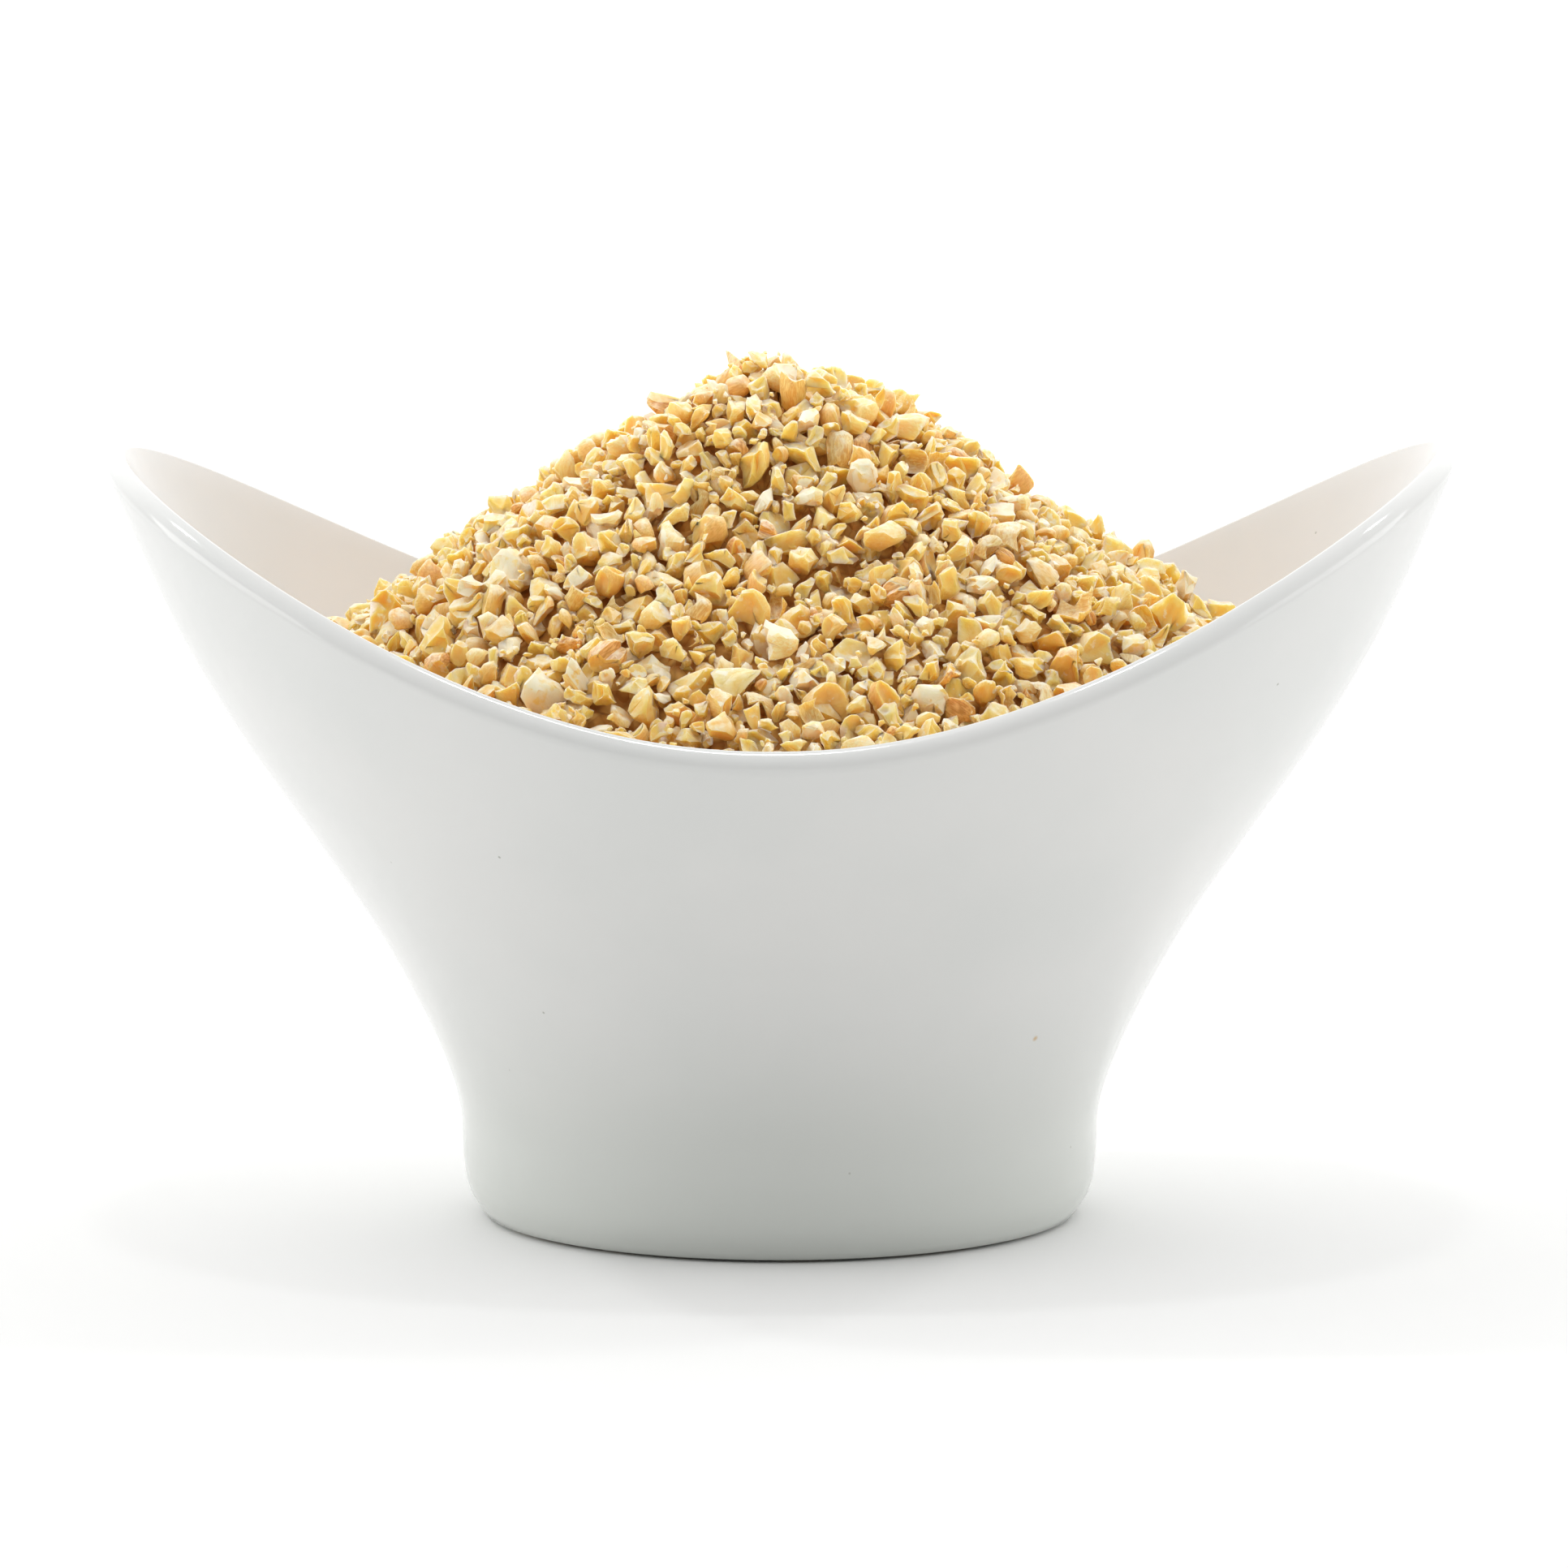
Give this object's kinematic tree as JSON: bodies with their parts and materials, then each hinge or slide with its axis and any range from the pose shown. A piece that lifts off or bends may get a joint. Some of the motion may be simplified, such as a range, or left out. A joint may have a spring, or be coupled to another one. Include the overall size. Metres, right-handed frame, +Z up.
{
  "type": "bowl of bulgur",
  "caption": "White porcelain serving bowl whose rim rises in a wave to two ears, heaped with coarse dry cracked wheat.",
  "frame": {"origin": "centre of the foot, on the surface that the bowl stands on", "axes": "+X towards the right ear, -Y towards the front, +Z up"},
  "size_m": [0.1581, 0.1292, 0.102],
  "materials": {
    "porcelain": "gloss",
    "cracked_wheat": "satin"
  },
  "bodies": {
    "root": {"bowl": "porcelain", "bulgur": "cracked_wheat"}
  },
  "joints": []
}
